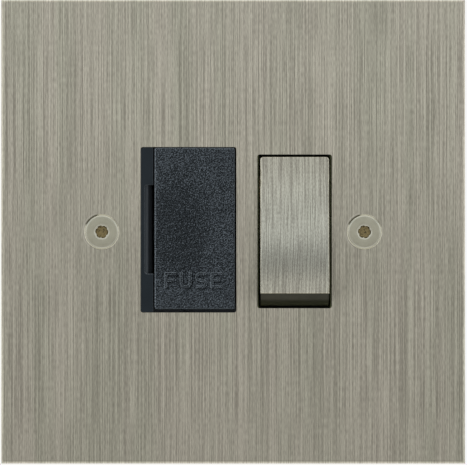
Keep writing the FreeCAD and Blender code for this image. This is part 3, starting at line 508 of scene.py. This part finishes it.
def screwArcs(tree, arcs):
    # arcs in rings about each screw: each is strongest along its way and fades out by the cosine from it
    x, z, radius = aboutScrew(tree)
    total = 0.0
    for (start, full, fade, end), way, edge, density in arcs:
        ring = calc(tree, "MULTIPLY", spread(tree, radius, start, full, 0, 1),
                    spread(tree, radius, fade, end, 1, 0))
        towards = calc(tree, "ADD", calc(tree, "MULTIPLY", x, way[0]), calc(tree, "MULTIPLY", z, way[1]))
        cosine = calc(tree, "DIVIDE", towards, radius)
        arc = calc(tree, "MULTIPLY", ring, spread(tree, cosine, edge, 0.5 * edge + 0.5, 0, density))
        total = calc(tree, "ADD", arc, total, clamp=True)
    return total


def brushedMetal(name, look):
    # pale and dark scratches between two metal tones, with slower warm and olive bands
    material, tree, socket = newMaterial(name, 1.0, look["roughness"], Anisotropic=look["anisotropy"])
    grain = groupNode(tree, brushedGrain, Width=look["width"], Length=look["length"], Sway=look["sway"],
                      Lean=look["lean"], LeanFrom=look["leanFrom"])
    share = scaled(tree, grain["Lines"], look["contrast"], 0.5, clamp=True)
    metal = blendColours(tree, share, look["dark"], look["light"])
    tone = scaled(tree, grain["Bands"], look["bandContrast"], 0.5, clamp=True)
    tint = blendColours(tree, tone, look["olive"], look["rose"])
    colour = blendColours(tree, 1.0, metal, tint, "MULTIPLY")
    # pale arcs of painted light and dark arcs of painted shadow about the screws
    for kind in ("paintedLight", "paintedShadow"):
        if look[kind + "Arcs"]:
            colour = blendColours(tree, screwArcs(tree, look[kind + "Arcs"]), colour, look[kind])
    # upright scratches spread the shine sideways, and X stays X while the rocker turns
    sideways = put(tree, "ShaderNodeCombineXYZ", {0: 1.0, 1: 0.0, 2: 0.0}).outputs[0]
    connect(tree, socket, Base_Color=colour, Tangent=sideways,
            Roughness=scaled(tree, grain["Lines"], look["roughVariety"], look["roughness"]),
            Normal=bump(tree, grain["Lines"], look["relief"]))
    return material


lidLook = {
    # the pit colour is near black: painted shade in the pits of the grain
    "pit": (0.0, 0.0005, 0.001),
    "peak": (0.068, 0.081, 0.094),
    # pale colour on the lid's edges: painted highlight
    "marksAndPaintedLight": (0.15, 0.175, 0.195),
    "wordEdgeHighlight": (0.24, 0.277, 0.305),  # the raised word's edges, painted paler as a highlight
    "wordMiddle": (-0.0092, -0.0111),
    "wordReach": (0.0073, 0.0025),
    "wordFade": 0.0003,
    "grain": 0.00029,
    "contrast": 7.5,
    "level": 0.34,
    "patch": 0.008,
    "patchShare": 0.35,
    "calmFrom": -0.0080,  # Z below which the stipple grows calmer and paler, and where it is calmest
    "calmFull": -0.0125,
    "calmShare": 0.68,
    "calmLevel": 0.07,
    "relief": 0.00080,
    "edge": 0.00019,
    "upward": (0.1, 0.6),  # Z of the normal between which an edge counts as facing up
    "highlightKeptFacingUp": 0.25,  # how much of the painted edge highlight the edges that face up keep outside the word, as the lamp lights them already
    "roughness": 0.5,
    "gloss": 0.24,
    "glossTint": (0.76, 0.90, 1.0),
    "darkOvalAt": (-0.0125, 0.0006),  # X and Z of the middle of the oval where the lid is darker
    "darkOvalReach": (0.0085, 0.0165),
    "darkOvalShare": 0.54,
}


def stippledPlastic(name, look):
    # pits painted dark as shade and paler peaks of one grain, darker in an oval about the middle, and edges
    # painted paler as a highlight
    material, tree, socket = newMaterial(name, 0.0, look["roughness"], Specular_IOR_Level=look["gloss"],
                                         Specular_Tint=(*look["glossTint"], 1))
    grain = groupNode(tree, stipple, Grain=look["grain"])
    wander = groupNode(tree, surfaceWander, Patch=look["patch"])
    spot = objectSpot(tree)
    # an oval about the middle where the lid is darker
    squares = 0.0
    for axis, middle, reach in zip((0, 2), look["darkOvalAt"], look["darkOvalReach"]):
        away = calc(tree, "DIVIDE", calc(tree, "SUBTRACT", spot[axis], middle), reach)
        squares = calc(tree, "ADD", calc(tree, "MULTIPLY", away, away), squares)
    darkOval = spread(tree, squares, 1, 0, 0, look["darkOvalShare"], ease="SMOOTHSTEP")
    contrast = spread(tree, spot[2], look["calmFull"], look["calmFrom"],
                      look["contrast"] * look["calmShare"], look["contrast"])
    level = spread(tree, spot[2], look["calmFull"], look["calmFrom"], look["level"] + look["calmLevel"],
                   look["level"])
    share = calc(tree, "MULTIPLY", grain["Fleck"], contrast)
    share = scaled(tree, wander["Patches"], look["patchShare"], share)
    share = calc(tree, "SUBTRACT", calc(tree, "ADD", share, level), darkOval, clamp=True)
    colour = blendColours(tree, share, look["pit"], look["peak"])
    soft = softNormal(tree, look["edge"])
    inWord = withinBox(tree, spot, look["wordMiddle"], look["wordReach"], look["wordFade"])
    facing = put(tree, "ShaderNodeSeparateXYZ", {0: soft}).outputs[2]
    # edges that face up keep less of the painted highlight
    kept = calc(tree, "MAXIMUM", spread(tree, facing, *look["upward"], 1, look["highlightKeptFacingUp"]), inWord)
    marksAndPaintedLight = calc(tree, "MULTIPLY", edgeShare(tree, soft), kept)
    paintedEdgeHighlight = blendColours(tree, inWord, look["marksAndPaintedLight"], look["wordEdgeHighlight"])
    connect(tree, socket, Base_Color=blendColours(tree, marksAndPaintedLight, colour, paintedEdgeHighlight),
            Normal=bump(tree, grain["Height"], look["relief"], soft))
    return material


mouldingLook = {
    "low": (0.0020, 0.0035, 0.0052),
    "high": (0.0040, 0.0070, 0.0100),
    # pale colour on the front edges: painted highlight
    "marksAndPaintedLight": (0.15, 0.165, 0.18),
    # paler colour deep in the gaps: painted light, olive round the rocker
    "fuseGapLight": (0.060, 0.064, 0.070),
    "rockerGapLight": (0.27, 0.30, 0.13),
    "gapLightDepths": (-0.0026, -0.0012, 0.0060, 0.0090),  # Y between which the painted light in the gaps sets in and ends
    "edgeHighlightDepths": (-0.0031, -0.0023),  # Y between which the painted edge highlight ends
    "gapLightReach": (0.0238, 0.0200),  # half the width and height that the openings span
    "gapLightFade": 0.0002,
    "rockerSide": 0.0030,  # X that parts the two openings
    "sideFade": 0.0005,
    "patch": 0.007,
    "patchContrast": 1.5,
    "pore": 0.00035,
    "relief": 0.000006,
    "roughness": 0.42,
    "roughVariety": 0.25,
    "gloss": 0.38,
    "glossTint": (0.82, 0.93, 1.0),
    "edge": 0.00020,
}


def mouldingWithGapLight(name, look):
    # smooth black moulding at the front, painted paler down in the gaps as light, olive around the rocker;
    # its front edges painted paler as a highlight
    material, tree, socket = newMaterial(name, 0.0, look["roughness"], Specular_IOR_Level=look["gloss"],
                                         Specular_Tint=(*look["glossTint"], 1))
    wander = groupNode(tree, surfaceWander, Patch=look["patch"], Pore=look["pore"])
    spot = objectSpot(tree)
    clean = patchTones(tree, wander, look["low"], look["high"], look["patchContrast"])
    side = spread(tree, spot[0], look["rockerSide"], look["rockerSide"] + look["sideFade"], 0, 1)
    # paler colour deep in the gaps, painted as light
    gapLight = blendColours(tree, side, look["fuseGapLight"], look["rockerGapLight"])
    start, full, fade, end = look["gapLightDepths"]
    deep = calc(tree, "MULTIPLY", spread(tree, spot[1], start, full, 0, 1),
                spread(tree, spot[1], fade, end, 1, 0))
    deep = calc(tree, "MULTIPLY", deep, withinBox(tree, spot, (0, 0), look["gapLightReach"], look["gapLightFade"]))
    soft = softNormal(tree, look["edge"])
    # front edges painted paler as a highlight
    marksAndPaintedLight = calc(tree, "MULTIPLY", edgeShare(tree, soft), spread(tree, spot[1], *look["edgeHighlightDepths"], 1, 0))
    clean = blendColours(tree, marksAndPaintedLight, clean, look["marksAndPaintedLight"])
    connect(tree, socket, Base_Color=blendColours(tree, deep, clean, gapLight),
            Roughness=scaled(tree, wander["Patches"], look["roughVariety"], look["roughness"]),
            Normal=bump(tree, wander["Pores"], look["relief"], soft))
    return material


rockerLook = {
    "front": (0.024, 0.025, 0.013),
    # paler flanks deeper in the opening: painted light
    "gapLight": (0.115, 0.120, 0.070),
    "gapLightFrom": -0.0045,  # Y where the painted light on the flanks starts and where it is full
    "gapLightFull": 0.0015,
    "gapLightLevel": 0.9,
    # paler low end: painted light
    "lowEndLight": (0.30, 0.31, 0.19),
    "endFrom": -0.0164,  # Z where the painted light at the low end starts and where it is full
    "endFull": -0.0169,
    "patch": 0.004,
    "pore": 0.0003,
    "relief": 0.000006,
    "roughness": 0.38,
    "roughVariety": 0.25,
    "edge": 0.00020,
}


def rockerWithGapLight(name, look):
    # dark olive plastic, painted paler as light on the flanks that sink into the opening and at its low end
    material, tree, socket = newMaterial(name, 0.0, look["roughness"])
    wander = groupNode(tree, surfaceWander, Patch=look["patch"], Pore=look["pore"])
    spot = objectSpot(tree)
    # flanks and low end painted paler as light
    deep = spread(tree, spot[1], look["gapLightFrom"], look["gapLightFull"], 0, 1)
    share = calc(tree, "MULTIPLY", deep, calc(tree, "ADD", wander["Patches"], look["gapLightLevel"]), clamp=True)
    low = spread(tree, spot[2], look["endFrom"], look["endFull"], 0, 1)
    flanks = blendColours(tree, share, look["front"], look["gapLight"])
    connect(tree, socket, Base_Color=blendColours(tree, low, flanks, look["lowEndLight"]),
            Roughness=scaled(tree, wander["Patches"], look["roughVariety"], look["roughness"]),
            Normal=bump(tree, wander["Pores"], look["relief"], softNormal(tree, look["edge"])))
    return material


plasticLook = {
    "darker": 0.8,  # how the darkest and the palest patches differ from a plastic's colour
    "paler": 1.25,
    "patch": 0.007,
    "patchContrast": 1.5,
    "pore": 0.00035,
    "relief": 0.000006,
    "roughVariety": 0.25,
}
ceramicLook = {**plasticLook, "relief": 0.00001}


def smoothPlastic(name, colour, roughness, look=plasticLook):
    material, tree, socket = newMaterial(name, 0.0, roughness)
    wander = groupNode(tree, surfaceWander, Patch=look["patch"], Pore=look["pore"])
    low = tuple(look["darker"] * part for part in colour)
    high = tuple(look["paler"] * part for part in colour)
    connect(tree, socket, Base_Color=patchTones(tree, wander, low, high, look["patchContrast"]),
            Roughness=scaled(tree, wander["Patches"], look["roughVariety"], roughness),
            Normal=bump(tree, wander["Pores"], look["relief"]))
    return material


metalLook = {
    "patch": 0.004,
    "patchContrast": 2.0,
    "pore": 0.0003,
    "relief": 0.000003,
    "roughVariety": 0.2,
}


def plainMetal(name, colour, roughness, variety, look=metalLook):
    # turned, rolled or plated metal: slow tarnish patches and a fine tool grain
    material, tree, socket = newMaterial(name, 1.0, roughness)
    wander = groupNode(tree, surfaceWander, Patch=look["patch"], Pore=look["pore"])
    low = tuple((1 - variety) * part for part in colour)
    high = tuple(min(1.0, (1 + variety) * part) for part in colour)
    connect(tree, socket, Base_Color=patchTones(tree, wander, low, high, look["patchContrast"]),
            Roughness=scaled(tree, wander["Pores"], look["roughVariety"], roughness),
            Normal=bump(tree, wander["Pores"], look["relief"]))
    return material


materials = {
    "brushed_plate": brushedMetal("brushedPlate", plateLook),
    "rocker_metal": brushedMetal("brushedCap", capLook),
    "screw_steel": plainMetal("screwNickel", (0.62, 0.595, 0.46), 0.34, variety=0.06),
    "black_moulding": mouldingWithGapLight("blackMoulding", mouldingLook),
    "fuse_lid_plastic": stippledPlastic("lidPlastic", lidLook),
    "rocker_plastic": rockerWithGapLight("rockerPlastic", rockerLook),
    "ceramic": smoothPlastic("fuseCeramic", (0.80, 0.77, 0.69), 0.45, ceramicLook),
    "fuse_cap_metal": plainMetal("fuseCapPlate", (0.76, 0.74, 0.70), 0.22, variety=0.08),
    "spring_brass": plainMetal("springBrass", (0.74, 0.55, 0.27), 0.28, variety=0.15),
    "contact_silver": plainMetal("contactSilver", (0.86, 0.85, 0.82), 0.25, variety=0.06),
    "plunger_nylon": smoothPlastic("plungerNylon", (0.78, 0.76, 0.68), 0.4),
    "spring_steel": plainMetal("springSteel", (0.50, 0.50, 0.49), 0.25, variety=0.1),
    "terminal_brass": plainMetal("terminalBrass", (0.76, 0.57, 0.27), 0.3, variety=0.15),
    "clamp_screw_steel": plainMetal("clampScrewZinc", (0.70, 0.67, 0.56), 0.3, variety=0.12),
    "earth_brass": plainMetal("earthBrass", (0.75, 0.56, 0.28), 0.27, variety=0.12),
}

screwFaceLook = {
    "light": (0.69, 0.67, 0.525),
    "dark": (0.575, 0.555, 0.43),
    "ringPitch": 0.00012,
    "ringContrast": 0.9,
    "ringWobble": 1.5,
    "ringDetail": 1.0,
    "patch": 0.0016,
    "patchContrast": 1.2,
    "relief": 0.000002,
    "roughness": 0.30,
    "anisotropy": 0.75,
    "shineTurn": 0.25,  # a quarter turn, so that the shine spreads across the rings
}


def turnedFace(name, look):
    # lathe rings about each screw's own axis: the radius is the distance from the nearer screw's middle
    material, tree, socket = newMaterial(name, 1.0, look["roughness"], Anisotropic=look["anisotropy"],
                                         Anisotropic_Rotation=look["shineTurn"])
    rings = calc(tree, "DIVIDE", aboutScrew(tree)[2], look["ringPitch"])
    patches = groupNode(tree, surfaceWander, Patch=look["patch"])["Patches"]
    wobble = calc(tree, "MULTIPLY", patches, look["ringWobble"])
    ring = flatNoise(tree, rings, wobble, look["ringDetail"])
    tone = scaled(tree, patches, look["patchContrast"], 0.5)
    share = scaled(tree, ring, look["ringContrast"], tone, clamp=True)
    circling = put(tree, "ShaderNodeTangent", direction_type="RADIAL", axis="Y").outputs[0]
    connect(tree, socket, Base_Color=blendColours(tree, share, look["dark"], look["light"]),
            Tangent=circling, Normal=bump(tree, ring, look["relief"]))
    return material


recessLook = {
    "bronze": (0.44, 0.35, 0.17),
    # dark spots and marks, and painted shade along the walls
    "tarnishAndShade": (0.045, 0.045, 0.032),
    "spotSize": 0.00032,
    "spotRange": (-0.13, -0.02),  # values of the pore noise between which a spot ends
    "spotShare": 0.7,
    "patch": 0.0008,
    "patchShare": 0.8,
    "rimFrom": 0.00112,  # radius where the painted shade along the walls sets in and where it is full
    "rimFull": 0.00148,
    "rimShare": 0.60,
    "markAt": (0.00026, -0.00006),  # X and Z of the dark mark beside each screw's middle
    "markRadius": 0.00022,
    "markShare": 1.2,
    "relief": 0.00004,
    "roughness": 0.5,
}


def mottledBronze(name, look):
    # the drive's floor and walls: pale bronze with dark tarnish spots, and painted shade darkening it
    # towards the walls
    material, tree, socket = newMaterial(name, 1.0, look["roughness"])
    wander = groupNode(tree, surfaceWander, Patch=look["patch"], Pore=look["spotSize"])
    spots = spread(tree, wander["Pores"], *look["spotRange"], look["spotShare"], 0)
    # darker towards the walls: painted shade
    rim = spread(tree, aboutScrew(tree)[2], look["rimFrom"], look["rimFull"], 0, look["rimShare"])
    mark = spread(tree, aboutScrew(tree, *look["markAt"])[2], 0.0, look["markRadius"], look["markShare"], 0)
    marksAndPaintedLight = calc(tree, "ADD", scaled(tree, wander["Patches"], look["patchShare"], spots), rim)
    marksAndPaintedLight = calc(tree, "ADD", marksAndPaintedLight, mark, clamp=True)
    connect(tree, socket, Base_Color=blendColours(tree, marksAndPaintedLight, look["bronze"], look["tarnishAndShade"]),
            Normal=bump(tree, wander["Pores"], look["relief"]))
    return material


recessBronze = mottledBronze("recessBronze", recessLook)
turnedNickel = turnedFace("turnedNickel", screwFaceLook)
rimNickel = plainMetal("rimNickel", (0.82, 0.80, 0.66), 0.20, variety=0.04)

slotOf = {part["node"]: part["material_slot"] for part in frame["record"]["subparts"]}
for name, item in nodes.items():
    item.data.materials.clear()
    item.data.materials.append(materials[slotOf[name]])
print("finishes laid on", len(nodes), "nodes")


def addSmooth(name, mesh, sharpAbove):
    # an object with smooth shading, apart from edges sharper than an angle in degrees
    mesh.polygons.foreach_set("use_smooth", np.ones(len(mesh.polygons), bool))
    mesh.set_sharp_from_angle(angle=math.radians(sharpAbove))
    piece = bpy.data.objects.new(name, mesh)
    scene.collection.objects.link(piece)
    return piece


# Edge-softened copies of the moulded and cut parts

softEdges = {
    "front_moulding": 0.00022,
    "rear_base": 0.00022,
    "rocker_body": 0.00018,
    "earth_strap": 0.00012,
    **{name: 0.0002 for name, slot in slotOf.items() if slot == "terminal_brass"},
}
softening = {
    "merge": 0.000002,
    "flatWithin": 0.5,  # degrees between faces: taken as flat, softened, and shaded sharp
    "softenAbove": 35,
    "sharpAbove": 32,
    "segments": 2,
}


def softenNode(name, width, look):
    source = nodes[name]
    mesh = bmesh.new()
    mesh.from_mesh(source.data)
    bmesh.ops.remove_doubles(mesh, verts=mesh.verts, dist=look["merge"])
    bmesh.ops.dissolve_limit(mesh, angle_limit=math.radians(look["flatWithin"]), verts=mesh.verts,
                             edges=mesh.edges)
    limit = math.radians(look["softenAbove"])
    sharp = [edge for edge in mesh.edges if len(edge.link_faces) == 2 and edge.calc_face_angle() > limit]
    bmesh.ops.bevel(mesh, geom=sharp, offset=width, offset_type="OFFSET", segments=look["segments"],
                    profile=0.5, affect="EDGES", clamp_overlap=True, harden_normals=False)
    copy = bpy.data.meshes.new(name + "Soft")
    mesh.to_mesh(copy)
    mesh.free()
    copy.materials.append(materials[slotOf[name]])
    piece = addSmooth(name + "Soft", copy, look["sharpAbove"])
    weighed = piece.modifiers.new("flatFaces", "WEIGHTED_NORMAL")
    weighed.keep_sharp = True
    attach(piece, source["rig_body"])
    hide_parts(name)
    for group in keyGroups:
        if name in group.objects:
            group.objects.link(piece)


for name, width in softEdges.items():
    softenNode(name, width, softening)
print("edges softened on", len(softEdges), "parts")


# Countersunk plate screws with a six-lobed recess and a real thread

def headRings(size):
    # radius, inward bump and depth of each ring, from the recess's middle over the head to the neck
    top = size["headTop"]
    floor = top + size["recessDepth"]
    recess = size["recessRadius"]
    inward = size["recessBump"]
    soft = size["recessChamfer"]
    head = size["headRadius"]
    rimWidth = size["rimWidth"]
    rimDepth = size["rimDepth"]
    neck = size["neckRadius"]
    under = top + rimDepth + head - neck
    return [
        (0.0, 0.0, floor + size["recessDip"]),
        (recess * 0.55, 0.0, floor + size["recessDip"] / 3),
        (recess * 0.97, inward, floor),
        (recess, inward, top + size["recessDepth"] * 0.9),
        (recess, inward, top + soft * 0.6),
        (recess + soft * 0.5, inward * 0.9, top + soft * 0.22),
        (recess + soft * 1.2, inward * 0.7, top + soft * 0.07),
        (recess + soft * 2.0, inward * 0.3, top),
        (head - rimWidth * 1.25, 0.0, top),
        (head - rimWidth, 0.0, top + rimDepth * 0.12),
        (head - rimWidth * 0.5, 0.0, top + rimDepth * 0.5),
        (head - rimWidth * 0.1, 0.0, top + rimDepth * 0.88),
        (head, 0.0, top + rimDepth * 1.1),
        (neck + size["neckEase"], 0.0, under - size["neckEase"]),
        (neck, 0.0, under + size["neckEase"]),
        (neck, 0.0, 0.0),
    ]


def screwRings(size):
    # each ring of the head is radius = outer - inward * ((1 + cos(6 turn)) / 2) ^ 4, at one depth; the
    # thread's radius is a flat-topped wave of depth / pitch - turn / 2 pi, faded in and out at its ends
    turn = np.linspace(0, 2 * np.pi, size["around"], endpoint=False)
    outer, inward, depth = (np.array(column)[:, None] for column in zip(*headRings(size)))
    lobes = np.cos(size["recessBumps"] * (turn - math.radians(size["recessTurn"])))
    radius = outer - inward * (((1 + lobes) / 2) ** size["bumpPower"])[None, :]
    depth = depth + 0 * radius
    pitch = size["threadPitch"]
    count = int(size["tip"] / pitch * size["ringsPerTurn"])
    run = np.linspace(size["threadStart"], size["tip"], count)[:, None]
    phase = (run / pitch - turn[None, :] / (2 * np.pi)) % 1.0
    crest = np.clip(size["threadSteepness"] * (0.5 - np.abs(phase - 0.5)), 0, 1)
    fadeIn, fadeOut = (turns * pitch for turns in size["fadeTurns"])
    fade = np.clip((size["tip"] - run) / fadeOut, 0, 1) * np.clip(run / fadeIn, 0, 1)
    thread = size["rootRadius"] + (size["threadRadius"] - size["rootRadius"]) * crest * fade
    end = np.zeros((1, size["around"]))
    radius = np.concatenate([radius, thread, end])
    depth = np.concatenate([depth, run + 0 * thread, end + size["tip"]])
    return radius, depth, turn


def gridFaces(rings, around):
    # quads between neighbouring rings, closed round the axis
    starts = np.arange(rings - 1)[:, None] * around
    spots = np.arange(around)[None, :]
    low = (starts + spots).ravel()
    nextSpot = (starts + (spots + 1) % around).ravel()
    return np.stack([low, nextSpot, nextSpot + around, low + around], 1)


def makeFixingScrew(name, side, size):
    radius, depth, turn = screwRings(size)
    x = side * size["spacing"] / 2 + radius * np.cos(turn)[None, :]
    z = radius * np.sin(turn)[None, :]
    spots = np.stack([x, depth, z], 2).reshape(-1, 3)
    faces = gridFaces(len(radius), size["around"])
    mesh = bpy.data.meshes.new(name)
    mesh.from_pydata(spots.tolist(), [], faces.tolist())
    for finish in (recessBronze, turnedNickel, rimNickel, materials["screw_steel"]):
        mesh.materials.append(finish)
    starts, finishes = zip(*size["finishRings"])
    which = np.searchsorted(starts, np.arange(len(radius) - 1), side="right") - 1
    finishes = np.array(finishes, np.int32)[which]
    mesh.polygons.foreach_set("material_index", np.repeat(finishes, size["around"]))
    shape = bmesh.new()
    shape.from_mesh(mesh)
    bmesh.ops.remove_doubles(shape, verts=shape.verts, dist=size["merge"])
    bmesh.ops.recalc_face_normals(shape, faces=shape.faces)
    shape.to_mesh(mesh)
    shape.free()
    piece = addSmooth(name, mesh, size["sharpAbove"])
    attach(piece, "root")
    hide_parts("fixing_screws")


makeFixingScrew("fixingScrewLeft", -1, fixingScrew)
makeFixingScrew("fixingScrewRight", 1, fixingScrew)
print("fixing screws cut")
